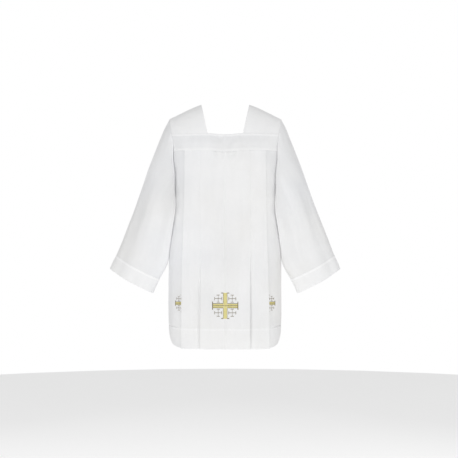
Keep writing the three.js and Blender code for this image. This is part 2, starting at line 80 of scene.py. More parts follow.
RAISED_OVER = 1.6  # how wide the slope is where a turned-in edge lifts the cloth
DIMPLE = (0.3, 0.9)  # how deep and how wide the dip along a row of stitches is
# Rows of a panel beside the top of the hem: how far each lies above it.
HEM_SEAM_ROWS = (5, 3, 1.8, 0.9, 0.2, -0.6, -1.4, -2.1, -2.6, -3.1, -3.9, -5.2, -7.5, -10)
FOLD_STEPS = 7  # points round a folded edge
SIDE_COLUMNS = 40  # from the last pleat to the side seam
EDGE_SWAY = 1.1  # how far a pleat's edge wanders to and fro on its way down
EDGE_WAVE = 118  # how far down it goes for each radian of that wave
EDGE_FREE = 200  # how far below the band it wanders fully
# Where the columns of a panel lie, as shares of its width. They are closest at the fold down the
# middle of the garment.
PANEL_SPOTS = [
    [0, 0.013, 0.028, 0.046, 0.07, *np.linspace(0.1, 0.985, 24)],
    [0.1, 0.2, *np.linspace(0.3, 0.985, 21)],
]
SHARP = math.radians(60)  # a sharper bend than this shows as an edge

# The hollow body, by height: each section is a squared oval. The columns are its height, its half
# width, its depth before and behind the side seams, and how square it is (2 is an ellipse).
BODY = np.array(
    [
        (-980, 218.5, 122, 118, 4.0),
        (-944, 226, 122, 118, 4.0),
        (-895, 229, 121.5, 118, 4.0),
        (-760, 229.5, 121, 118, 4.2),
        (-620, 229, 120, 117.5, 4.6),
        (-565, 225.5, 119.5, 117, 5.2),
        (-463, 213, 118, 116, 5.8),
        (-382, 205, 116.5, 115, 6.2),
        (-349, 202, 116, 115, 6.0),
        (-270, 208, 115, 114, 4.8),
        (-184, 232, 112, 112, 3.2),
        (-116, 242.5, 104, 104, 2.9),
    ]
)

# The pleats: an edge's distance from the middle at the band and at the hem, how much is folded
# beneath it, how far its hang carries it to the wearer's left at the hem, and the step from one
# of its layers to the next where it is pressed flat. Lower down its layers open.
PLEATS = [(100, 100, 30, 0, 0.7), (163, 176, 42, -1, 1.7)]
OPEN_STEP = 3.4
OPENS = (-590, 300)  # where the pleats begin to open, and over how long a stretch

# Soft lengthwise folds: their place at the band and at the hem, their width, and how far out they
# stand.
SOFT_FOLDS = [
    (-3, -4, 2.4, -1.3),
    (5, 4, 9, 1.2),
    (46, 52, 26, 1.6),
    (-44, -55, 28, 1.6),
    (132, 140, 22, 1.4),
    (-130, -141, 24, 1.4),
]

# Creases: where they start and end (x, z, x, z), their width, how far out they stand, and how far
# they bow. The short ones hang from the seam under the band, the side ones pull down from the
# armpits, and two deepen the inner pleats of the front.
FRONT_CREASES = [
    (-86, -165, -83, -238, 8, -1.0, 2),
    (-58, -165, -50, -268, 9, -1.3, -3),
    (-44, -150, -20, -226, 9, -4.2, 4),
    (-14, -150, -9, -222, 6, -3.2, 1),
    (9, -150, 18, -236, 7, -4.4, -2),
    (40, -150, 22, -218, 8, -3.8, -3),
    (0, -178, 46, -206, 5, -1.8, 3),
    (-52, -196, -4, -186, 5, -1.6, -3),
    (64, -165, 56, -276, 10, -1.2, 3),
    (88, -165, 90, -232, 7, -0.9, 0),
    (-128, -165, -131, -262, 9, -1.0, 2),
    (130, -165, 133, -246, 9, -1.1, -2),
    (-195, -250, -193, -430, 8, 4.6, -1),
    (194, -246, 194, -436, 9, 4.4, 2),
    (-199, -380, -164, -500, 13, -1.5, 6),
    (-199, -352, -182, -560, 10, 1.6, 5),
    (200, -384, 167, -490, 12, -1.6, -6),
    (199, -356, 181, -590, 11, 1.5, -5),
    (-24, -290, -35, -940, 12, -1.3, 4),
    (25, -236, 21, -850, 15, 1.2, -3),
    (-72, -410, -80, -975, 11, 1.2, 4),
    (75, -320, 82, -915, 13, -1.2, -5),
    (116, -260, 122, -910, 9, 1.0, 2),
    (-148, -230, -155, -950, 10, -1.2, 3),
    (153, -300, 160, -960, 9, -1.1, -3),
    (-206, -500, -204, -930, 10, 1.5, 4),
    (206, -530, 203, -900, 11, 1.3, -4),
    (-112, -700, -122, -985, 7, -1.3, -2),
    (47, -640, 58, -985, 9, -1.1, 3),
    (-52, -700, -47, -985, 8, -1.0, -2),
    (-104.5, -560, -105, -1130, 2.9, -3.2, 0),
    (102, -520, 102, -1130, 2.9, -3.6, 0),
]
BACK_CREASES = [
    (-78, -165, -82, -250, 9, -1.2, -2),
    (-46, -165, -41, -236, 7, -1.6, 2),
    (-18, -165, -22, -268, 8, -1.4, -2),
    (9, -165, 12, -232, 6, -1.7, 1),
    (34, -165, 41, -262, 9, -1.5, 3),
    (71, -165, 66, -240, 8, -1.2, -2),
    (124, -165, 129, -256, 9, -1.0, 2),
    (-131, -165, -128, -240, 8, -1.1, 0),
    (204, -334, 160, -500, 15, -2.2, -8),
    (-204, -330, -166, -476, 14, -2.0, 6),
    (31, -280, 42, -930, 13, -1.4, -4),
    (-28, -330, -24, -900, 12, 1.2, 5),
    (72, -420, 64, -975, 12, 1.1, 3),
    (-74, -260, -84, -880, 10, -1.2, -3),
    (147, -240, 158, -940, 10, -1.2, 3),
    (-152, -360, -160, -970, 9, -1.1, -3),
    (119, -640, 112, -985, 8, 1.2, 2),
    (-115, -600, -121, -985, 9, 1.0, 2),
    (-205, -470, -203, -910, 10, 1.4, -4),
    (206, -560, 204, -940, 11, 1.3, 4),
]
# The hem's seam is drawn in towards the side seams, before and behind.
SEAM_CREASES = [(side * 270, HEM_SEAM_Z, side * 178, HEM_SEAM_Z, 1.9, -5.5, 0) for side in (-1, 1)]
CREASE_FADE = 0.35  # the share of its length over which each end of a crease fades
SWELLS = (310, 210, 150, 105, 74, 52)  # from one crest of the cloth's small waves to the next
SWELL_HEIGHT = 0.0042  # of that distance
SWELL_FREE = 60  # how far from a seam they have their full height


def mix(a, b, share):
    return a + (b - a) * share


def smooth(value):
    value = np.clip(value, 0, 1)
    return value * value * (3 - 2 * value)


def hump(distance, width):
    return np.exp(-((distance / width) ** 2))


def column(table, number, at):
    """A column of a table, on a smooth curve through its rows. Column 0 says where the rows are."""
    place, value = table[:, 0], table[:, number]
    rows = np.arange(len(table))
    low, high = np.maximum(rows - 1, 0), np.minimum(rows + 1, rows[-1])
    slope = (value[high] - value[low]) / (place[high] - place[low])
    i = np.clip(np.searchsorted(place, at) - 1, 0, rows[-1] - 1)
    reach = place[i + 1] - place[i]
    s = np.clip((at - place[i]) / reach, 0, 1)
    return (
        (2 * s**3 - 3 * s**2 + 1) * value[i]
        + (s**3 - 2 * s**2 + s) * reach * slope[i]
        + (3 * s**2 - 2 * s**3) * value[i + 1]
        + (s**3 - s**2) * reach * slope[i + 1]
    )


def section(side, z):
    """The half width, depth and squareness of the hollow body. side is -1 at the front."""
    return column(BODY, 1, z), column(BODY, 2 if side < 0 else 3, z), column(BODY, 4, z)


def turn_at_x(cut, x):
    return np.arcsin(np.clip(x / cut[0], 0, 1) ** (cut[2] / 2))


def turn_at_depth(cut, depth):
    return np.arccos(np.clip(depth / cut[1], 0, 1) ** (cut[2] / 2))


def on_section(side, cut, turn, off, mirror, z):
    """Points a quarter of the way round a section, from the middle to the side, moved out by off."""
    a, b, n = cut
    s, c = np.sin(turn), np.maximum(np.cos(turn), 0)
    away = np.stack([s ** (2 - 2 / n) / a, c ** (2 - 2 / n) / b])
    away /= np.linalg.norm(away, axis=0)
    x = a * s ** (2 / n) + away[0] * off
    y = b * c ** (2 / n) + away[1] * off
    return np.stack(np.broadcast_arrays(mirror * x, side * y, z), -1)


def armhole_depth(z):
    """Half the depth of the armhole at a height: an egg, widest where the band meets the skirt."""
    height = np.where(z > BAND_BOTTOM_Z, SHOULDER_POINT[1] - BAND_BOTTOM_Z, BAND_BOTTOM_Z - UNDERARM_Z)
    r = np.clip(np.abs(z - BAND_BOTTOM_Z) / height, 0, 1)
    n = np.where(z > BAND_BOTTOM_Z, 2, ARMHOLE_SQUARE)
    return ARMHOLE_DEPTH * (1 - r**n) ** (1 / n)


def layer_step(number, z):
    """From one folded layer of a pleat to the next."""
    return mix(PLEATS[number][4], OPEN_STEP, smooth((OPENS[0] - z) / OPENS[1]))


def panel_level(panel, z):
    """How far out a visible panel lies. Panel 0 is the middle one, and the last is at the side."""
    return sum(2 * layer_step(number, z) for number in range(panel, len(PLEATS)))


def creases(table, x, z):
    """How far a table's creases move the cloth: bowed troughs and ridges that fade at both ends."""
    total = np.zeros(np.broadcast(x, z).shape)
    for x0, z0, x1, z1, width, depth, bow in table:
        dx, dz = x1 - x0, z1 - z0
        length = math.hypot(dx, dz)
        along = ((x - x0) * dx + (z - z0) * dz) / length**2
        aside = ((x - x0) * dz - (z - z0) * dx) / length - 4 * bow * along * (1 - along)
        fade = smooth(along / CREASE_FADE) * smooth((1 - along) / CREASE_FADE)
        total += depth * hump(aside, width) * fade
    return total


def swell(x, y, z, seed):
    """How far the small soft waves of hanging cloth move it. They run mostly up and down."""
    random = np.random.default_rng(seed)
    total = np.zeros(np.broadcast(x, y, z).shape)
    for length in SWELLS:
        turn, phase, lean = random.uniform((0, 0, -0.3), (math.pi, 2 * math.pi, 0.3))
        across = x * math.cos(turn) + y * math.sin(turn) + lean * z
        total += SWELL_HEIGHT * length * np.sin(2 * math.pi * across / length + phase)
    return total


def skirt_moves(side, x, z):
    """How far the folds, creases and waves move the cloth of a panel outwards. The folds have
    their full depth from a third of the way down."""
    down = np.clip((BAND_BOTTOM_Z - z) / (BAND_BOTTOM_Z - HEM_Z), 0, 1)
    folds = sum(
        depth * smooth(3 * down) * hump(x - mix(at_band, at_hem, down), width)
        for at_band, at_hem, width, depth in SOFT_FOLDS
    )
    small = creases((FRONT_CREASES if side < 0 else BACK_CREASES) + SEAM_CREASES, x, z)
    waves = swell(x, side * BODY[0, 2], z, 4 - side) * smooth((BAND_BOTTOM_Z - z) / SWELL_FREE)
    return folds + small + waves


def pleated_half(side, z, move, mirror):
    """Half a panel, from its middle to the side seam, through the pleats. z and move give each row's
    height and how far it lies from the cloth's own middle."""
    cut = section(side, z)
    down = smooth((BAND_BOTTOM_Z - z) / (BAND_BOTTOM_Z - HEM_Z))
    turns, offs, shares = [], [], []

    def add(x, off, away_x, away_out):
        turns.append(turn_at_x(cut, x + away_x * move))
        offs.append(off + away_out * move)
        shares.append(0)

    def flat(start, end, spots, off, out):
        for spot in spots:
            add(mix(start, end, spot), off, 0, out)

    def fold(edge, off, way, step):
        for angle in np.linspace(0, math.pi, FOLD_STEPS):
            round_x, round_off = math.sin(angle), math.cos(angle)
            bent = edge - way * step / 2 * (1 - round_x)
            add(bent, off - step / 2 * (1 - round_off), round_x, way * round_off)

    start = 0
    for number, (at_band, at_hem, under, swing, _) in enumerate(PLEATS):
        step, level = layer_step(number, z), panel_level(number, z)
        phase = 2.1 * number + 0.9 * mirror + side  # each edge wanders in its own way
        sway = EDGE_SWAY * np.sin(z / EDGE_WAVE + phase) * smooth((BAND_BOTTOM_Z - z) / EDGE_FREE)
        edge = mix(at_band, at_hem + mirror * swing, down) + sway
        flat(start, edge, PANEL_SPOTS[number], level, 1)
        fold(edge, level, 1, step)
        flat(edge, edge - under, (0.2, 0.5, 0.8), level - step, -1)
        fold(edge - under, level - step, -1, step)
        start = edge - under + step / 2
    end = np.where(z > UNDERARM_Z, turn_at_depth(cut, armhole_depth(z)), math.pi / 2)
    for share in np.linspace(0, 1, SIDE_COLUMNS + 1)[1:]:
        turns.append(mix(turn_at_x(cut, start), end, share))
        offs.append(move)
        shares.append(share)

    turn, off, share = np.stack(turns, 1), np.stack(offs, 1), np.array(shares)
    cut = [v[:, None] for v in cut]
    z = z[:, None]
    x = cut[0] * np.sin(turn) ** (2 / cut[2])
    below = (HEM_SEAM_Z - z) / (HEM_SEAM_Z - HEM_Z)
    lift = HEM_SIDE_RISE * smooth((HEM_SEAM_Z - z) / HEM_RISE_ABOVE + 1)
    lift = (lift + HEM_CORNER_RISE * smooth(share) * np.clip(below, 0, 1) ** 2) * smooth(share)
    return on_section(side, cut, turn, off + skirt_moves(side, mirror * x, z), mirror, z + lift)


def skirt_sheet(side):
    """The middle of a panel's cloth as a grid of points, down to the hem's fold and up inside it,
    with each row's height before the sides are lifted."""
    seam = HEM_SEAM_Z
    turned = np.linspace(0, math.pi, 7)
    fold_z = HEM_Z + HEM_LAYERS / 2
    outside = [
        *np.linspace(BAND_BOTTOM_Z + TUCK, seam + 8, 104),
        *[seam + above for above in HEM_SEAM_ROWS],
        *np.linspace(seam - 14, fold_z + 3, 11),
    ]
    rows = [
        (
            z,
            HEM_RAISE * smooth((seam + 1 - z) / RAISED_OVER)
            - DIMPLE[0] * hump(z - seam + HEM_STITCHES, DIMPLE[1]),
        )
        for z in outside
    ]
    rows += [
        (fold_z - HEM_LAYERS / 2 * math.sin(t), HEM_RAISE - HEM_LAYERS / 2 * (1 - math.cos(t)))
        for t in turned
    ]
    rows += [(z, HEM_RAISE - HEM_LAYERS) for z in np.linspace(fold_z + 3, seam - 1, 10)]
    z, move = np.array(rows).T
    right = pleated_half(side, z, move, -1)[:, ::-1]
    left = pleated_half(side, z, move, 1)[:, 1:]
    sheet = np.concatenate([right, left], 1)
    return (sheet if side < 0 else sheet[:, ::-1]), z


def unit(v):
    return v / np.maximum(np.linalg.norm(v, axis=-1, keepdims=True), 1e-9)


def facing(sheet, tube=False):
    """Which way the cloth's outside faces at each point of a grid."""

    def slope(grid, closed):
        if closed:
            ahead = unit(np.roll(grid, -1, 0) - grid)
            return ahead + np.roll(ahead, 1, 0)
        ahead = unit(np.diff(grid, axis=0))
        return np.concatenate([ahead[:1], ahead[1:] + ahead[:-1], ahead[-1:]])

    down = slope(sheet, False)
    across = slope(sheet.swapaxes(0, 1), tube).swapaxes(0, 1)
    return unit(np.cross(down, across))


def show(name, points, faces, material, weave=None):
    """A mesh that moves with the garment. weave is where each face corner lies on the flat cloth."""
    mesh = bpy.data.meshes.new(name)
    mesh.from_pydata((points * MM).tolist(), [], faces)
    mesh.materials.append(material)
    if weave is not None:
        mesh.uv_layers.new(name="weave").data.foreach_set("uv", (weave * MM).ravel())
    mesh.shade_smooth()
    mesh.set_sharp_from_angle(angle=SHARP)
    obj = bpy.data.objects.new(name, mesh)
    bpy.context.scene.collection.objects.link(obj)
    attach(obj, "root")
    return obj


def wall(name, outer, inner, material, tube=False, warp=None):
    """A closed wall of cloth between two grids of points, with rounded edges. Rows run down the
    cloth and columns across it, and a tube's last column meets its first. warp is each row's
    place along the warp threads, where it isn't measured from the grid."""
    rows, cols = outer.shape[:2]
    middle = (outer + inner) / 2
    number = np.arange(rows * cols).reshape(rows, cols)
    if tube:
        number = np.concatenate([number, number[:, :1]], 1)
    corner = np.arange(number.size).reshape(number.shape)

    wide = middle.reshape(-1, 3)[number]
    weft = np.zeros(number.shape)
    weft[:, 1:] = np.cumsum(np.linalg.norm(np.diff(wide, axis=1), axis=2), 1)
    weft -= weft[:, [weft.shape[1] // 2]]
    if warp is None:
        warp = -np.cumsum(np.linalg.norm(np.diff(wide, axis=0, prepend=wide[:1]), axis=2).mean(1))
    flat = np.stack(np.broadcast_arrays(weft, warp[:, None]), -1).reshape(-1, 2)

    def quads(grid):
        return np.stack([grid[:-1, :-1], grid[1:, :-1], grid[1:, 1:], grid[:-1, 1:]], -1).reshape(-1, 4)

    def edges(grid):
        if tube:
            return [grid[-1], grid[0, ::-1]]
        return [np.concatenate([grid[:, 0], grid[-1, 1:], grid[-2::-1, -1], grid[0, -2::-1]])]

    away = np.zeros_like(middle)
    away[0] += unit(middle[0] - middle[1])
    away[-1] += unit(middle[-1] - middle[-2])
    if not tube:
        away[:, 0] += unit(middle[:, 0] - middle[:, 1])
        away[:, -1] += unit(middle[:, -1] - middle[:, -2])
    half = np.linalg.norm(outer - inner, axis=2, keepdims=True) / 2
    rim = (middle + unit(away) * half * 0.8).reshape(-1, 3)

    points = [outer.reshape(-1, 3), inner.reshape(-1, 3)]
    faces = [quads(number), quads(number)[:, ::-1] + rows * cols]
    corners = [quads(corner), quads(corner)[:, ::-1]]
    count = 2 * rows * cols
    for ring, place in zip(edges(number), edges(corner)):
        edge = np.append(count + np.arange(len(ring) - 1), count)
        count += len(ring) - 1
        points.append(rim[ring[:-1]])
        a, b = slice(None, -1), slice(1, None)
        faces.append(np.stack([ring[b], ring[a], edge[a], edge[b]], 1))
        faces.append(np.stack([edge[b], edge[a], ring[a] + rows * cols, ring[b] + rows * cols], 1))
        corners += [np.stack([place[b], place[a], place[a], place[b]], 1)] * 2
    weave = flat[np.concatenate(corners)]
    return show(name, np.concatenate(points), np.concatenate(faces).tolist(), material, weave)


def thicken(sheet, thickness, tube=False):
    """The outer and the inner side of a sheet of points."""
    half = facing(sheet, tube) * thickness / 2
    return sheet + half, sheet - half


class Link:
    """A socket in a material. Arithmetic on it adds Math nodes."""

    def __init__(self, finish, socket):
        self.finish = finish
        self.socket = socket

    def math(self, operation, *values):
        return self.finish.node("ShaderNodeMath", {"operation": operation}, dict(enumerate(values)))

    def __add__(self, other):
        return self.math("ADD", self, other)

    def __sub__(self, other):
        return self.math("SUBTRACT", self, other)

    def __rsub__(self, other):
        return self.math("SUBTRACT", other, self)

    def __mul__(self, other):
        return self.math("MULTIPLY", self, other)

    __radd__ = __add__
    __rmul__ = __mul__


class Finish:
    """A material whose nodes are made one call at a time."""

    def __init__(self, name, **constants):
        self.material = bpy.data.materials.new(name)
        self.material.use_nodes = True
        self.tree = self.material.node_tree
        self.shader = self.tree.nodes["Principled BSDF"]
        for socket, value in constants.items():
            self.set(socket.replace("_", " "), value)

    def node(self, kind, settings, sockets, output=0):
        made = self.tree.nodes.new(kind)
        for name, value in settings.items():
            setattr(made, name, value)
        for key, value in sockets.items():
            self.feed(made.inputs[key], value)
        return Link(self, made.outputs[output])

    def feed(self, socket, value):
        if isinstance(value, Link):
            self.tree.links.new(value.socket, socket)
        else:
            socket.default_value = value

    def set(self, name, value):
        self.feed(self.shader.inputs[name], value)

    def place(self):
        """Where a point of the surface lies, in metres."""
        return self.node("ShaderNodeTexCoord", {}, {}, 3)

    def ramp(self, value, start, end, low=0.0, high=1.0, kind="SMOOTHSTEP"):
        """Goes from low to high while value goes from start to end."""
        sockets = {0: value, 1: start, 2: end, 3: low, 4: high}
        return self.node("ShaderNodeMapRange", {"interpolation_type": kind}, sockets)

    def blend(self, share, a, b):
        return self.node("ShaderNodeMix", {"data_type": "RGBA"}, {"Factor": share, 6: a, 7: b}, 2)

    def noise(self, place, scale, detail=2.0):
        return self.node("ShaderNodeTexNoise", {}, {"Vector": place, "Scale": scale, "Detail": detail})

    def bump(self, height, distance, strength=1.0):
        sockets = {"Height": height, "Distance": distance, "Strength": strength}
        self.set("Normal", self.node("ShaderNodeBump", {}, sockets))


THREAD_PITCH = 0.42  # from one thread of the weave to the next
SLUB_LENGTH = 16  # how long the thicker stretches of a thread are
STREAKS = (28, 3.5)  # how many cloudy streaks a metre has across and along the warp
LAYER_EDGE = 0.8  # half the width over which a hidden layer's edge shows
PAINTED_SHADE_EDGE = 10  # how wide the edge of the painted shade on the skirt's sides is
PAINTED_GLOW = 0.045  # an even glow painted on the cloth, which stands in for the light that comes through the thin cloth from behind
SINGLE_CLOTH = (0.74, 0.735, 0.72, 1)  # where one layer lets the shade behind it show
COOL_CLOTH = (0.71, 0.722, 0.75, 1)  # where that shade is the cooler one
DOUBLED_CLOTH = (0.93, 0.93, 0.932, 1)


def woven(name, base, layers=(), painted_side_shade=None):
    """Plain-woven cloth. base is how far its colour is from single to doubled cloth. layers gives
    stretches along the warp with more layers, and how much more. The last argument is how far from
    the middle along the weft a painted shade begins to darken the cloth's sides, and by how much."""
    finish = Finish(
        name,
        Sheen_Weight=0.18,
        Sheen_Roughness=0.4,
        Specular_IOR_Level=0.3,
        # Painted light: the cloth glows a little of its own, which brightens its shade.
        Emission_Color=(1, 1, 1, 1),
        Emission_Strength=PAINTED_GLOW,
    )
    cloth_map = finish.node("ShaderNodeUVMap", {"uv_map": "weave"}, {})
    weft, warp = (finish.node("ShaderNodeSeparateXYZ", {}, {0: cloth_map}, k) for k in (0, 1))
    place = finish.place()

    turn = math.pi / (THREAD_PITCH * MM)
    weave = weft.math("SINE", weft * turn) * warp.math("SINE", warp * turn)

    def drawn_out(across, along, scales, seed, detail):
        sockets = {0: across * scales[0], 1: along * scales[1], 2: seed}
        return finish.noise(finish.node("ShaderNodeCombineXYZ", {}, sockets), 1.0, detail)

    slubs = (1 / THREAD_PITCH / MM, 1 / SLUB_LENGTH / MM)
    thread = drawn_out(weft, warp, slubs, 3.0, 1.0) + drawn_out(warp, weft, slubs, 8.0, 1.0)
    clouds = finish.noise(place, 6.0)
    streaks = drawn_out(weft, warp, STREAKS, 5.0, 2.0)
    mottle = finish.noise(place, 70.0, 4.0)

    # The noises add up to 0.57 in the middle of their range.
    tone = clouds * 0.6 + streaks * 0.3 + mottle * 0.12 + thread * 0.06 + (base - 0.57)
    # Painted shade: the cloth is painted darker out at its sides, where they turn away from the light and
    # lie in the sleeves' shade.
    if painted_side_shade:
        start, gain = painted_side_shade
        aside = weft.math("ABSOLUTE", weft)
        tone = tone - finish.ramp(aside, start, start + PAINTED_SHADE_EDGE * MM, kind="LINEAR") * gain
    for low, high, gain in layers:
        soft = LAYER_EDGE * MM
        starts, stops = ((edge * MM - soft, edge * MM + soft) for edge in (low, high))
        tone = tone + finish.ramp(warp, *starts) * finish.ramp(warp, *stops, 1.0, 0.0) * gain
    patches = finish.noise(place, 2.6) * 3 - 1
    shade = finish.blend(patches, SINGLE_CLOTH, COOL_CLOTH)
    finish.set("Base Color", finish.blend(tone, shade, DOUBLED_CLOTH))
    finish.set("Roughness", mottle * 0.14 + 0.72)
    finish.bump(weave * 0.5 + thread * 0.7 + mottle * 1.2, 0.07 * MM, 0.6)
    return finish.material


# The skirt's sides are painted darker from 262 mm out along the weft: painted shade.
skirt_cloth = woven(
    "white_cotton",
    0.55,
    layers=[(HEM_Z * 2, HEM_SEAM_Z, 0.08), (HEM_SEAM_Z - 7, HEM_SEAM_Z, 0.15)],
    painted_side_shade=(0.262, 0.2),
)

skirts = {}
for side, word in ((-1, "front"), (1, "back")):
    sheet, heights = skirt_sheet(side)
    fold = np.argmin(heights)
    warp = np.where(np.arange(len(heights)) > fold, 2 * HEM_Z - heights, heights)
    outer, inner = thicken(sheet, CLOTH)
    panel = wall(f"{word}_panel", outer, inner, skirt_cloth, warp=warp)
    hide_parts(f"skirt_{word}")
    skirts[word] = (panel, outer, heights, fold)

# ---------- hem stitching ----------
# One row of white machine stitches just under the top of the hem, sewn through before the pleats
# were pressed, so that it runs on beneath them.
STITCH = 2.5
STITCH_PITCH = 3.2
THREAD_RADIUS = 0.24
STITCH_SIDES = 6
# Sections of a stitch: how far along it, how far out of the cloth and how thick, as shares of its
# length and of the thread's radius.
STITCH_FORM = np.array([(-0.5, -0.6, 0.45), (-0.3, 0.1, 1), (0.3, 0.1, 1), (0.5, -0.6, 0.45)])


def sewing_thread():
    finish = Finish("sewing_thread", Specular_IOR_Level=0.4, Sheen_Weight=0.1)
    twist = finish.noise(finish.place(), 900.0)
    finish.set("Base Color", finish.blend(twist, (0.74, 0.75, 0.77, 1), (0.88, 0.88, 0.89, 1)))
    finish.set("Roughness", twist * 0.2 + 0.5)
    finish.bump(twist, 0.05 * MM)
    return finish.material


white_thread = sewing_thread()


def sewn(name, line, out):
    """A row of stitches along a line of points, each a rounded thread half sunk in the cloth."""
    run = np.concatenate([[0], np.cumsum(np.linalg.norm(np.diff(line, axis=0), axis=1))])
    at = np.arange(STITCH_PITCH / 2, run[-1] - STITCH / 2, STITCH_PITCH)

    def sample(values, where):
        return np.stack([np.interp(where, run, values[:, k]) for k in range(3)], 1)

    ahead = unit(sample(line, at + STITCH / 2) - sample(line, at - STITCH / 2))
    up = unit(sample(out, at))
    aside = unit(np.cross(up, ahead))
    angle = np.linspace(0, 2 * math.pi, STITCH_SIDES + 1)[:-1]
    along, above, girth = (share[None, :, None, None] for share in STITCH_FORM.T)
    middle = sample(line, at)[:, None, None] + ahead[:, None, None] * along * STITCH
    middle = middle + up[:, None, None] * above * THREAD_RADIUS
    ring = (
        aside[:, None, None] * np.cos(angle)[None, None, :, None]
        + up[:, None, None] * np.sin(angle)[None, None, :, None]
    )
    points = middle + ring * girth * THREAD_RADIUS
    faces = tube_faces(len(at), len(STITCH_FORM), STITCH_SIDES)
    return show(name, points.reshape(-1, 3), faces, white_thread)


def tube_faces(count, stations, sides):
    """The faces of many closed tubes whose points are in order of tube, station and side."""
    number = np.arange(count * stations * sides).reshape(count, stations, sides)
    after = np.roll(number, -1, 2)
    quads = np.stack([number[:, :-1], number[:, 1:], after[:, 1:], after[:, :-1]], -1)
    ends = [number[:, 0], number[:, -1, ::-1]]
    return [*quads.reshape(-1, 4).tolist(), *np.concatenate(ends).tolist()]


for word, (panel, outer, heights, fold) in skirts.items():
    row = np.argmin(np.abs(heights[:fold] - (HEM_SEAM_Z - HEM_STITCHES)))
    stitches = sewn(f"{word}_hem_stitches", outer[row], facing(outer)[row])

# ---------- yoke bands ----------
# Straight bands of doubled cloth across the chest and the back, with both edges turned in and
# topstitched 8.5 mm from the fold. They cover the tops of the pleats and bow out over them.
BAND_TOP_Z = -116
BAND_EDGE = 8.5  # from each fold to the stitches
BAND_RAISE = 0.45  # how much the turned-in edges lift its outer side
BAND_THICK = 1.5
BAND_SEAT = 0.7  # how far out its top edge lies
BAND_CLEAR = 0.15  # between it and the pleats
BAND_FULL = 0.6  # the share of its height below which it lies over the pleats
BAND_PAST = 4  # how far past a pleat's edge it begins to come down
BAND_ENDS = 30  # over how wide a stretch it does, past the outer pleats
NECK_HALF_WIDTH = 71
NECK_DIP = 5  # how much lower its top edge is across the neck
BAND_DIP = (6, 55)  # how much lower its bottom edge hangs in the middle, and how wide that is
BAND_COLUMNS = 181
PUCKERS = (0.22, 1.9, 17, 4)  # along the stitches: height, length, how they vary, and how wide
BAND_SWELL = 0.5  # how high its small waves are, beside the skirt's

# The creases of a band: it dips where the open neck pulls it, left and right of the middle.
BAND_CREASES = [
    (-96, -128, -60, -172, 9, -0.8, 3),
    (-34, -118, 2, -176, 9, -2.0, -5),
    (6, -116, -8, -158, 7, 1.4, 3),
    (38, -120, 14, -178, 8, -2.1, 4),
    (58, -122, 34, -168, 9, 1.2, -3),
    (92, -126, 66, -174, 10, -0.9, -3),
    (150, -120, 140, -178, 11, -0.7, 2),
    (-152, -120, -146, -178, 10, -0.7, -2),
]

band_height = BAND_TOP_Z - BAND_BOTTOM_Z
band_layers = [(-BAND_EDGE, 5, 0.3), (-90, -band_height + BAND_EDGE, 0.22)]
band_cloth = woven("white_cotton_band", 0.5, band_layers)


def band_top(x):
    return BAND_TOP_Z - NECK_DIP * (1 - smooth(np.abs(x) / NECK_HALF_WIDTH))


def band_lift(x, share):
    """How far out a band lies at a share of its height, which is 0 at its top."""
    inner, outer = (at_band + BAND_PAST for at_band, *_ in PLEATS)
    middle_level, side_level = (panel_level(panel, BAND_BOTTOM_Z) for panel in (0, 1))
    over_pleats = mix(middle_level, side_level, smooth((np.abs(x) - inner) / (outer - inner)))
    over_pleats = over_pleats * (1 - smooth((np.abs(x) - outer) / BAND_ENDS))
    clear = CLOTH / 2 + BAND_THICK / 2 + BAND_CLEAR
    return mix(BAND_SEAT, over_pleats + clear, smooth(share / BAND_FULL))


def band_sheet(side):
    """The middle of a band and how far its outer side stands from it."""
    edge = BAND_EDGE / band_height
    spots = [np.linspace(0, edge, 7), np.linspace(edge, 1 - edge, 17), np.linspace(1 - edge, 1, 7)]
    down = np.unique(np.concatenate(spots))[:, None]
    across = np.linspace(-1, 1, BAND_COLUMNS)[None]
    level = mix(BAND_TOP_Z, BAND_BOTTOM_Z, down)
    end_cut = section(side, level)
    end = on_section(side, end_cut, turn_at_depth(end_cut, armhole_depth(level)), 0, 1, level)[..., 0]
    x = across * end
    z = mix(band_top(x), BAND_BOTTOM_Z - BAND_DIP[0] * hump(x, BAND_DIP[1]), down)
    cut = section(side, z)
    height, length, vary, wide = PUCKERS
    pucker = height * np.sin(x / length + 2 * np.sin(x / vary)) * (
        hump((down - edge) * band_height, wide) + hump((1 - edge - down) * band_height, wide)
    )
    soft = swell(x, 0 * x, z, 7 + side) * BAND_SWELL + creases(BAND_CREASES, x * -side, z)
    off = band_lift(x, down) + pucker + soft
    sheet = on_section(side, cut, turn_at_x(cut, np.abs(x)), off, np.where(x < 0, -1, 1), z)
    near = np.minimum(down, 1 - down) * band_height
    raised = BAND_RAISE * (1 - smooth((near - BAND_EDGE + 1) / RAISED_OVER))
    raised = raised - DIMPLE[0] * hump(near - BAND_EDGE, DIMPLE[1])
    return (sheet if side < 0 else sheet[:, ::-1]), raised


for side, word in ((-1, "front"), (1, "back")):
    sheet, raised = band_sheet(side)
    half = facing(sheet) * BAND_THICK / 2
    outer = sheet + half + facing(sheet) * raised[..., None]
    band = wall(f"{word}_band", outer, sheet - half, band_cloth)
    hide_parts(f"yoke_{word}")
    middle = sheet[:, BAND_COLUMNS // 2]
    below = np.linalg.norm(middle - middle[0], axis=1)
    lines = []
    for number, at in enumerate((BAND_EDGE, below[-1] - BAND_EDGE), 1):
        row = np.argmin(np.abs(below - at))
        lines.append(sewn(f"{word}_band_stitches_{number}", outer[row], facing(outer)[row]))

# ---------- shoulders ----------
# A strip of doubled cloth over each shoulder, between the square neck and the armhole, with its
# ends caught behind the front band and the back one.
RISE_FROM = math.radians(30)  # at which angle over the shoulder the front band's top lies
SHOULDER_LAP = 0.04  # how much further round its ends reach, in radians
SHOULDER_THICK = 0.9
SHOULDER_CAUGHT = (0.8, 0.03)  # how far its ends lie behind the bands, and over which share of it
SHOULDER_BOW = 1.15  # more than 1, as its ridge bows up between the neck and the armhole
SHOULDER_WIDTH = 150  # from the neck edge to the armhole, for its creases
SHOULDER_SWELL = (0.6, 0.15)  # how high its small waves are, and the share over which they grow
NECK_RIDGE = (98.5, 9.5)  # the x and z of its ridge at the neck

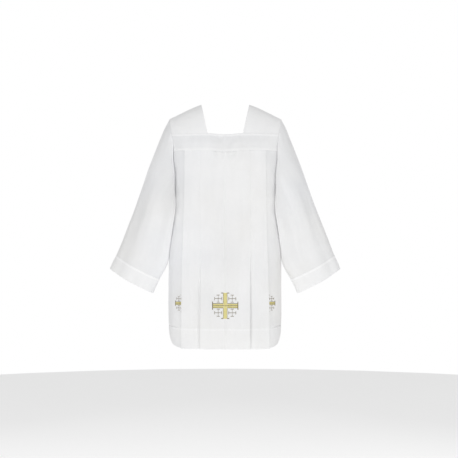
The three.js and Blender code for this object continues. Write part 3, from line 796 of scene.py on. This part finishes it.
# Creases of the shoulders, as distances from the neck edge and angles over the shoulder.
SHOULDER_CREASES = [
    (30, 38, 140, 66, 9, -0.9, 3),
    (146, 40, 118, 96, 8, -1.0, -4),
    (20, 140, 120, 112, 9, -0.8, 2),
]

shoulder_cloth = woven("white_cotton_shoulder", 0.85)


def shoulder_sheet(mirror):
    """The middle of the cloth, from the front band over the shoulder to the back one."""
    start = RISE_FROM - SHOULDER_LAP
    turn = np.linspace(start, math.pi - start, 81)[:, None]
    across = np.array([0, 0.006, 0.015, 0.03, 0.045, 0.055, *np.linspace(0.075, 1, 34)])[None]
    across = across[:, ::-mirror]  # 0 at the neck edge and 1 at the armhole
    share = 2 * np.sin(turn) - 1  # 0 at the bands and 1 on the ridge
    top = np.array(BAND_TOP_Z)
    cut = section(-1, top)
    armhole = on_section(-1, cut, turn_at_depth(cut, armhole_depth(top)), 0, 1, 0)
    seam_x = mix(NECK_HALF_WIDTH, armhole[0], across)
    ridge_x = mix(NECK_RIDGE[0], SHOULDER_POINT[0], across)
    ridge_z = mix(NECK_RIDGE[1], SHOULDER_POINT[1], across**SHOULDER_BOW)
    depth = cut[1] * np.cos(turn_at_x(cut, seam_x)) ** (2 / cut[2])
    behind, near = SHOULDER_CAUGHT
    caught = behind * smooth((near - share) / near)
    x = mix(seam_x, ridge_x, share)
    y = np.sign(np.cos(turn)) * caught - depth * np.cos(turn) / math.cos(RISE_FROM)
    z = mix(BAND_TOP_Z, ridge_z, share)
    sheet = np.stack(np.broadcast_arrays(mirror * x, y, z), -1)
    high, grown = SHOULDER_SWELL
    soft = swell(*np.moveaxis(sheet, -1, 0), 21 + mirror) * high * smooth(share / grown)
    soft = soft + creases(SHOULDER_CREASES, across * SHOULDER_WIDTH, np.degrees(turn))
    return sheet + facing(sheet) * soft[..., None]


for side, mirror in (("left", 1), ("right", -1)):
    sheet = shoulder_sheet(mirror)
    outer, inner = thicken(sheet, SHOULDER_THICK)
    shoulder = wall(f"{side}_shoulder_strip", outer, inner, shoulder_cloth)
    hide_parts(f"shoulder_{side}")

# ---------- sleeves ----------
# Wide straight sleeves of one layer of cloth, set into the egg-shaped armholes. They hang outwards
# and a little forwards, and narrow towards the cuffs.
CUFF_SEAM = 606  # how far down the outer fold the cuff begins
SLEEVE_EGG = 0.16  # how much deeper it is towards its outer fold, and shallower towards its inner
SLEEVE_PINCH = 0.0055  # how much flatter it is for each millimetre that it leans forwards
SLEEVE_PULL = 0.6  # how much its upper front is drawn in towards the body
PULLED = (35, 110, 150)  # it grows over the first stretch, and fades from the second over the third
SLEEVE_CLEAR = 0.6  # between the sleeve's edge and the body
SLEEVE_SWELL = 1.2  # how high its small waves are, beside the skirt's
SLEEVE_SEED = 31
CUFF_DROOP = 5  # the front and the back hang this much below the two folds
ALLOWANCE = 4  # the sleeve's edge lies this far inside the armhole
ARM_COLUMNS = 132
CUFF_ROW = 9  # the row of ARM where the cuff begins

# Rings round the arm: how far down its outer fold, the x and z of its outer and of its inner fold,
# half its depth, how far forwards it lies, and how much more its inner fold does.
ARM = np.array(
    [
        (0, 229, -48, 202, -349, 77, 0, 0),
        (42, 248, -85, 203, -359, 76.5, 0, 90),
        (82, 263, -122, 200, -374, 75, 1, 106),
        (139, 284, -175, 199, -398, 73, 2, 110),
        (208, 309, -240, 201.5, -431, 71, 3, 108),
        (282, 334.5, -309, 208, -471, 68, 5, 98),
        (362, 363, -384, 216, -517, 65, 7, 86),
        (443, 392, -460, 224, -571, 62, 9, 70),
        (525, 421, -536, 235, -641, 58, 11, 50),
        (606, 450.5, -612, 271, -709, 55, 12, 26),
        (634, 462, -637, 283, -735, 55.5, 12.5, 24),
        (662, 472.5, -663, 295, -762, 54.5, 13, 22),
    ]
)
# How closely the sleeve keeps the armhole's shape, by the distance down it.
HOLD = np.array([(0, 1), (42, 0.72), (82, 0.5), (139, 0.3), (208, 0.14), (282, 0.05), (362, 0), (700, 0)])

# Soft folds of the sleeves: their angle from the outer fold (90 is the front), where they start,
# how wide they are in degrees, and how far out they stand.
SLEEVE_FOLDS = [
    (46, 230, 15, -4.8),
    (80, 95, 17, 4.0),
    (116, 205, 14, -5.0),
    (232, 130, 18, -3.6),
    (276, 210, 20, 3.0),
    (312, 275, 15, -5.0),
]
FOLD_GROWS = 180  # over how long a stretch they grow
# Where the front of the sleeve sinks beside the armhole seam: at which angle, how wide and how deep,
# then over which distance it grows, how far down it is lowest, and how long it is.
SEAM_VALLEY = (98, 22, 12)
VALLEY_DOWN = (4, 6, 7)
# Creases of the sleeves: start and end (angle, distance down), width, depth and bow. The short ones
# are the ease of the sleeve at the armhole seam.
SLEEVE_CREASES = [
    (24, -30, 26, 62, 5, -1.0, 0),
    (41, -30, 45, 84, 5, -1.4, 1),
    (60, -30, 62, 58, 4, -1.1, 0),
    (82, -30, 79, 104, 6, -1.5, -1),
    (103, -30, 108, 70, 5, -1.2, 1),
    (127, -30, 124, 122, 7, -1.8, 2),
    (148, -30, 143, 96, 6, -1.5, 0),
    (214, -30, 219, 110, 7, -1.7, -2),
    (243, -30, 240, 76, 5, -1.3, 0),
    (268, -30, 271, 98, 6, -1.4, 1),
    (297, -30, 293, 66, 5, -1.1, 0),
    (322, -30, 325, 84, 5, -1.2, 0),
    (98, 60, 92, 470, 8, -1.6, 4),
    (68, 180, 70, 560, 7, 1.5, -3),
    (36, 260, 33, 600, 7, -1.7, 2),
    (132, 240, 128, 640, 8, 1.6, 3),
    (150, 150, 160, 420, 9, -2.0, -3),
    (101, 420, 97, 655, 6, -1.4, -2),
    (250, 90, 256, 520, 8, -1.6, -4),
    (292, 300, 288, 640, 7, 1.5, 3),
    (222, 260, 214, 590, 8, 1.6, 2),
    (330, 280, 334, 560, 8, -1.4, 2),
]


def arm_sheet(down, mirror):
    """Points round the arm at each distance down it."""
    angle = np.linspace(0, 360, ARM_COLUMNS + 1)[:-1][None, ::-mirror]
    down = np.asarray(down, float)[:, None]
    t = np.radians(angle)
    outer_x, outer_z, inner_x, inner_z = (column(ARM, k, down) for k in (1, 2, 3, 4))
    depth, forward, lean = (column(ARM, k, down) for k in (5, 6, 7))
    spread = (1 + np.cos(t)) / 2  # 0 on the inner fold and 1 on the outer one
    grows, fades, gone = PULLED
    pulled = smooth(down / grows) * (1 - smooth((down - fades) / gone))
    x = mix(inner_x, outer_x, spread ** (1 + SLEEVE_PULL * np.clip(np.sin(t), 0, 1) * pulled))
    leaning = lean * (1 - spread) ** 2
    egg = 1 + SLEEVE_EGG * np.cos(t)
    y = -depth * np.sin(t) * egg * (1 - SLEEVE_PINCH * leaning) - forward - leaning
    z = mix(inner_z, outer_z, spread)
    middle_x, middle_z = (inner_x + outer_x) / 2, (inner_z + outer_z) / 2
    away = unit(np.stack([x - middle_x, y + forward, z - middle_z], -1))

    top_z = mix(UNDERARM_Z, SHOULDER_POINT[1], spread)
    below = np.minimum(top_z, BAND_TOP_Z)
    cut = section(-1, below)
    body_x = on_section(-1, cut, turn_at_depth(cut, armhole_depth(below)), 0, 1, below)[..., 0]
    over = np.clip((top_z - BAND_TOP_Z) / (SHOULDER_POINT[1] - BAND_TOP_Z), 0, 1)
    hold = column(HOLD, 1, down)
    first = ARM[0]
    own_x, own_y = mix(first[3], first[1], spread), -first[5] * np.sin(t) * egg
    x = x + hold * (mix(body_x, SHOULDER_POINT[0], over) + SLEEVE_CLEAR - own_x)
    y = y + hold * (-np.sign(np.sin(t)) * armhole_depth(top_z) - own_y)

    moved = creases(SLEEVE_CREASES, angle, down)
    middle, width, sunk = SEAM_VALLEY
    starts, lowest, length = VALLEY_DOWN
    beside_seam = smooth(down / starts) * hump(down - lowest, length)
    moved = moved - sunk * hump(angle - middle, width) * beside_seam
    for middle, start, width, out in SLEEVE_FOLDS:
        turned = (angle - middle + 180) % 360 - 180
        moved = moved + out * hump(turned, width) * smooth((down - start) / FOLD_GROWS)
    waves = swell(x, y, z, SLEEVE_SEED + mirror)
    moved = moved + SLEEVE_SWELL * waves * smooth(down / SWELL_FREE)
    share = np.clip(np.interp(down, ARM[:, 0], np.arange(len(ARM)) / CUFF_ROW), 0, 1)
    z = z - CUFF_DROOP * np.sin(t) ** 2 * share**3
    points = np.stack(np.broadcast_arrays(x, y, z), -1) + away * moved[..., None]
    return points * (mirror, 1, 1)


def seat_in_armhole(sheet, mirror):
    """Adds the edge of the sleeve that lies inside the armhole, in three rows: how far inside each
    one lies, and how much nearer the middle."""
    middle = sheet[0].mean(0)
    rows = [
        sheet[0] - (mirror * inside, 0, 0) - unit(sheet[0] - middle) * sunk
        for inside, sunk in ((ALLOWANCE, 1.6), (ALLOWANCE / 2, 1.5), (0.6, 0.9))
    ]
    return np.concatenate([rows, sheet])


sleeve_cloth = woven("white_cotton_sleeve", 0.45)
for side, mirror in (("left", 1), ("right", -1)):
    down = np.concatenate([[0, 1.5, 3.5, 6, 9, 13], np.linspace(18, CUFF_SEAM, 108)])
    sheet = seat_in_armhole(arm_sheet(down, mirror), mirror)
    outer, inner = thicken(sheet, CLOTH, tube=True)
    sleeve = wall(f"{side}_sleeve", outer, inner, sleeve_cloth, tube=True)
    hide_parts(f"sleeve_{side}")

# ---------- cuffs ----------
# Plain bands of doubled cloth round the ends of the sleeves, folded at the wrist and stitched round
# the top, where they stand a little proud.
CUFF_END = 662  # how far down the outer fold it ends
CUFF_LAP = 5  # how far the cuff's top edge laps over the sleeve
CUFF_PROUD = 0.75  # how far its outer layer stands off the sleeve
CUFF_LAYERS = 1.3  # from the middle of the outer layer to the middle of the inner one
CUFF_STITCHES = 2.6  # below its top edge
CUFF_DIMPLE = (0.3, 0.8)  # how deep and how wide the dip along its stitches is
CUFF_ROWS = (0, 0.7, 1.6, 2.1, 2.6, 3.2, 4, 6)  # rows beside its top edge, as distances from it
CUFF_NORMALS = 12  # sections of the arm that say which way is out

cuff_cloth = woven("white_cotton_cuff", 0.74, [(-8, 10, 0.3)])


def cuff_sheet(mirror):
    """The middle of the cuff's cloth, down its outside, round the fold at the wrist and up inside it,
    and how far down each row lies."""
    top, end = CUFF_SEAM - CUFF_LAP, CUFF_END - CUFF_LAYERS / 2
    deep, wide = CUFF_DIMPLE
    outside = [top + below for below in CUFF_ROWS] + [*np.linspace(top + 9, end, 15)]
    rows = [(at, CUFF_PROUD - deep * hump(at - top - CUFF_STITCHES, wide)) for at in outside]
    rows += [
        (end + CUFF_LAYERS / 2 * math.sin(t), CUFF_PROUD - CUFF_LAYERS / 2 * (1 - math.cos(t)))
        for t in np.linspace(0, math.pi, 7)[1:]
    ]
    rows += [(at, CUFF_PROUD - CUFF_LAYERS) for at in np.linspace(end - 4, top + 4, 8)]
    at, proud = np.array(rows).T
    out = facing(arm_sheet(np.linspace(top, CUFF_END, CUFF_NORMALS), mirror), tube=True)
    nearest = np.rint(np.interp(at, (top, CUFF_END), (0, CUFF_NORMALS - 1))).astype(int)
    return arm_sheet(at, mirror) + out[nearest] * proud[:, None, None], at - top


for side, mirror in (("left", 1), ("right", -1)):
    sheet, below = cuff_sheet(mirror)
    outer, inner = thicken(sheet, CLOTH, tube=True)
    cuff = wall(f"{side}_cuff", outer, inner, cuff_cloth, tube=True)
    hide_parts(f"cuff_{side}")
    row = np.argmin(np.abs(below - CUFF_STITCHES))
    line, out = (np.concatenate([ring, ring[:1]]) for ring in (outer[row], facing(outer, tube=True)[row]))
    stitches = sewn(f"{side}_cuff_stitches", line, out)

# ---------- embroidery ----------
# A cross of gold satin stitch with bars across its ends and a small cross in each corner, outlined
# in dark thread. The large one lies in the middle of the front, and two small ones lie beside it,
# half tucked under the outer pleats.
SATIN_PITCH = 0.62  # from one thread to the next
SATIN_THREAD = (0.7, 0.3)  # a thread's width and height where it lies in satin stitch
# Sections of such a thread: how far along it, and how far out, as a share of the stitch's height.
SATIN_FORM = np.array([(0, -0.3), (0.12, 0.7), (0.36, 1), (0.64, 1), (0.88, 0.7), (1, -0.3)])
SATIN_SIDES = 5
RAGGED = (0.14, 12.9)  # how uneven the edge of the stitches is, and how fast that changes
GOLD_HEIGHT = 0.55  # how far a gold thread arches out from the cloth
OUTLINE_HEIGHT = 0.9
CLOTH_WALK = 12  # in how many steps a point's way along the curved cloth is measured

# The cross: half its size, half the width of its upright and of its bar.
HALF = 52
UPRIGHT = 8
BAR = 9.5
END_BAR = (16, 3)  # half its length, and its width
LINE = 2.1  # the width of the dark lines along and beside the bar
EDGE_LINE = (0.7, 0.5)  # how far inside and outside the upright's edge the line on it reaches
LINE_ENDS = 1  # how far short of the ends the line along the bar stops
GOLD_ENDS = 0.4  # how far short of the ends the gold upright stops
APART = (0.2, 0.3, 0.6)  # from gold to the bar's line, to the other lines, and a serif's overlap
CROSSLET = (28, 15, 6.5)  # its place, half its size and half its end bars
CROSSLET_LINE = 1.7
CROSSLET_UPRIGHT = 0.7  # how wide its upright is, as a share of that
EMBLEMS = [
    # name, x, z, size, panel (0 is the middle one and 2 the side one)
    ("front", 0, -806, 1, 0),
    ("left", 167.8, -798, 0.66, 2),
    ("right", -167.8, -798, 0.66, 2),
]


def on_front(start_x, along, z, panel, out):
    """Points on the front's cloth, along it from start_x at the height z."""
    cut = section(-1, z)
    off = panel_level(panel, z)
    place = start_x + 0 * along
    for _ in range(CLOTH_WALK):
        p, q = (on_section(-1, cut, turn_at_x(cut, np.abs(place) + v), off, 1, z) for v in (-0.5, 0.5))
        place = place + along / CLOTH_WALK * (q - p)[..., 0] / np.linalg.norm(q - p, axis=-1)
    off = off + skirt_moves(-1, place, z) + CLOTH / 2 + out
    return on_section(-1, cut, turn_at_x(cut, np.abs(place)), off, np.where(place < 0, -1, 1), z)


def satin(left, right, bottom, top, size):
    """Threads side by side that fill a rectangle, across its narrower way."""
    left, right, bottom, top = (v * size for v in (left, right, bottom, top))
    tall = right - left < top - bottom
    near, far, low, high = (left, right, bottom, top) if tall else (bottom, top, left, right)
    at = np.arange(low + SATIN_PITCH / 2, high, SATIN_PITCH)
    ragged = RAGGED[0] * np.sin(RAGGED[1] * at)
    start, end = near - ragged, far - ragged
    return np.stack([start, at, end, at] if tall else [at, start, at, end], 1)


def crosslet_threads(x, z, size):
    """A small dark cross with bars across its ends."""
    _, reach, foot = CROSSLET
    thin = CROSSLET_LINE / 2
    narrow = thin * CROSSLET_UPRIGHT
    threads = [satin(x - reach, x + reach, z - thin, z + thin, size)]
    threads.append(satin(x - narrow, x + narrow, z - reach, z + reach, size))
    for tip in (-1, 1):
        low, high = sorted((tip * reach, tip * (reach - CROSSLET_LINE)))
        threads.append(satin(x + low, x + high, z - foot, z + foot, size))
        threads.append(satin(x - foot, x + foot, z + low, z + high, size))
    return threads


def cross_threads(size):
    """The gold threads and the dark threads of a cross, as lines in its own plane."""
    inside, outside = EDGE_LINE
    by_bar, by_line, overlap = APART
    gilt = UPRIGHT - inside
    middle = LINE / 2 + by_bar
    gold_threads = [satin(-gilt, gilt, GOLD_ENDS - HALF, HALF - GOLD_ENDS, size)]
    dark_threads = [satin(LINE_ENDS - HALF, HALF - LINE_ENDS, -LINE / 2, LINE / 2, size)]
    for way in (-1, 1):
        near, far = sorted((way * (UPRIGHT + by_line), way * (HALF - END_BAR[1])))
        for low, high in ((middle, BAR - LINE + by_line), (LINE - BAR - by_line, -middle)):
            gold_threads.append(satin(near, far, low, high, size))
        for line in (-BAR, BAR - LINE):
            dark_threads.append(satin(near, far, line, line + LINE, size))
        end = sorted((way * (HALF - END_BAR[1]), way * HALF))
        dark_threads.append(satin(*end, -END_BAR[0], END_BAR[0], size))
        for other in (-1, 1):
            serif = sorted((other * (UPRIGHT - overlap), other * END_BAR[0]))
            dark_threads.append(satin(*serif, *end, size))
            edge = sorted((other * gilt, other * (UPRIGHT + outside)))
            run = sorted((way * (BAR + by_line), way * (HALF - END_BAR[1])))
            dark_threads.append(satin(*edge, *run, size))
            dark_threads += crosslet_threads(way * CROSSLET[0], other * CROSSLET[0], size)
    return np.concatenate(gold_threads), np.concatenate(dark_threads)


def embroidered(name, threads, height, emblem, material):
    """Closed threads over the cloth, each arched from where it comes up to where it goes down."""
    _, x, z, _, panel = emblem
    station, rise = (share[None, :, None] for share in SATIN_FORM.T)
    angle = np.linspace(0, 2 * math.pi, SATIN_SIDES + 1)[:-1][None, None]
    start, end = threads[:, None, None, :2], threads[:, None, None, 2:]
    ahead = unit(end - start)
    wide, tall = SATIN_THREAD
    across = np.cos(angle) * wide / 2
    right = mix(start[..., 0], end[..., 0], station) - ahead[..., 1] * across
    up = mix(start[..., 1], end[..., 1], station) + ahead[..., 0] * across
    out = height * rise + np.sin(angle) * tall / 2
    right, up, out = np.broadcast_arrays(right, up, out)
    points = on_front(x, right, z + up, panel, out)
    faces = tube_faces(len(threads), len(SATIN_FORM), SATIN_SIDES)
    return show(name, points.reshape(-1, 3), faces, material)


def satin_thread(name, dark, light, roughness):
    finish = Finish(name, Specular_IOR_Level=0.6, Sheen_Weight=0.15)
    place = finish.place()
    strand = finish.noise(place, 700.0)
    batch = finish.noise(place, 60.0)
    finish.set("Base Color", finish.blend(strand * 0.6 + batch * 0.5 - 0.05, dark, light))
    finish.set("Roughness", strand * 0.2 + roughness)
    finish.bump(strand, 0.05 * MM)
    return finish.material


gold = satin_thread("gold_satin_thread", (0.66, 0.56, 0.17, 1), (0.90, 0.85, 0.42, 1), 0.3)
dark = satin_thread("dark_outline_thread", (0.10, 0.07, 0.02, 1), (0.24, 0.18, 0.06, 1), 0.4)

for emblem in EMBLEMS:
    word, _, _, size, _ = emblem
    gold_threads, dark_threads = cross_threads(size)
    cross = embroidered(f"{word}_cross_gold", gold_threads, GOLD_HEIGHT, emblem, gold)
    lines = embroidered(f"{word}_cross_outline", dark_threads, OUTLINE_HEIGHT, emblem, dark)
    node = word if word == "front" else f"side_{word}"
    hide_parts(f"cross_{node}")
    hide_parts(*[f"crosslet_{node}_{number}" for number in (1, 2, 3, 4)])

# ---------- studio ----------
# A pale floor far below the hem, a white surround, and large soft lights before and behind.
FLOOR_Z = -2400
FLOOR_RADIUS = 9000
FLOOR_LIGHT = 0.35  # what the floor adds of its own, so that it stays pale far off
SURROUND_LIGHT = 0.46  # what the white surround adds, beside the lights
LIGHTS_AIM = (0, 0, -480)

floor_finish = Finish("floor", Roughness=0.8)
floor_tone = floor_finish.noise(floor_finish.place(), 0.7)
floor_tone = floor_finish.blend(floor_tone, (0.88, 0.88, 0.88, 1), (0.92, 0.92, 0.92, 1))
floor_finish.set("Base Color", floor_tone)
floor_finish.set("Emission Color", (1, 1, 1, 1))
floor_finish.set("Emission Strength", FLOOR_LIGHT)
angle = np.linspace(0, 2 * math.pi, 65)[:-1]
rim = np.stack([FLOOR_RADIUS * np.cos(angle), FLOOR_RADIUS * np.sin(angle), 0 * angle + FLOOR_Z], 1)
floor_mesh = bpy.data.meshes.new("floor")
floor_mesh.from_pydata((rim * MM).tolist(), [], [list(range(len(rim)))])
floor_mesh.materials.append(floor_finish.material)
floor = bpy.data.objects.new("floor", floor_mesh)
bpy.context.scene.collection.objects.link(floor)

world = bpy.data.worlds.new("surround")
world.use_nodes = True
world_links = world.node_tree.links
surround = world.node_tree.nodes["Background"]
surround.inputs["Color"].default_value = (1, 1, 1, 1)
seen = world.node_tree.nodes.new("ShaderNodeLightPath")
strength = world.node_tree.nodes.new("ShaderNodeMapRange")
strength.inputs[3].default_value = SURROUND_LIGHT
strength.inputs[4].default_value = 1
world_links.new(seen.outputs["Is Camera Ray"], strength.inputs[0])
world_links.new(strength.outputs[0], surround.inputs["Strength"])
bpy.context.scene.world = world
bpy.context.scene.view_settings.view_transform = "Standard"


def soft_light(name, at, width, watts):
    data = bpy.data.lights.new(name, "AREA")
    data.shape = "DISK"
    data.size = width * MM
    data.energy = watts
    light = bpy.data.objects.new(name, data)
    light.location = [v * MM for v in at]
    ahead = Vector([v * MM for v in LIGHTS_AIM]) - light.location
    light.rotation_euler = ahead.to_track_quat("-Z", "Y").to_euler()
    bpy.context.scene.collection.objects.link(light)


for name, at, width, watts in (
    ("front_light", (300, -4500, 900), 3200, 52),
    ("front_light_left", (3300, -3300, 700), 2400, 18),
    ("front_light_right", (-3300, -3300, 700), 2400, 21),
    ("back_light_left", (2800, 3700, 900), 2400, 31),
    ("back_light_right", (-2800, 3700, 900), 2400, 29),
):
    soft_light(name, at, width, watts)
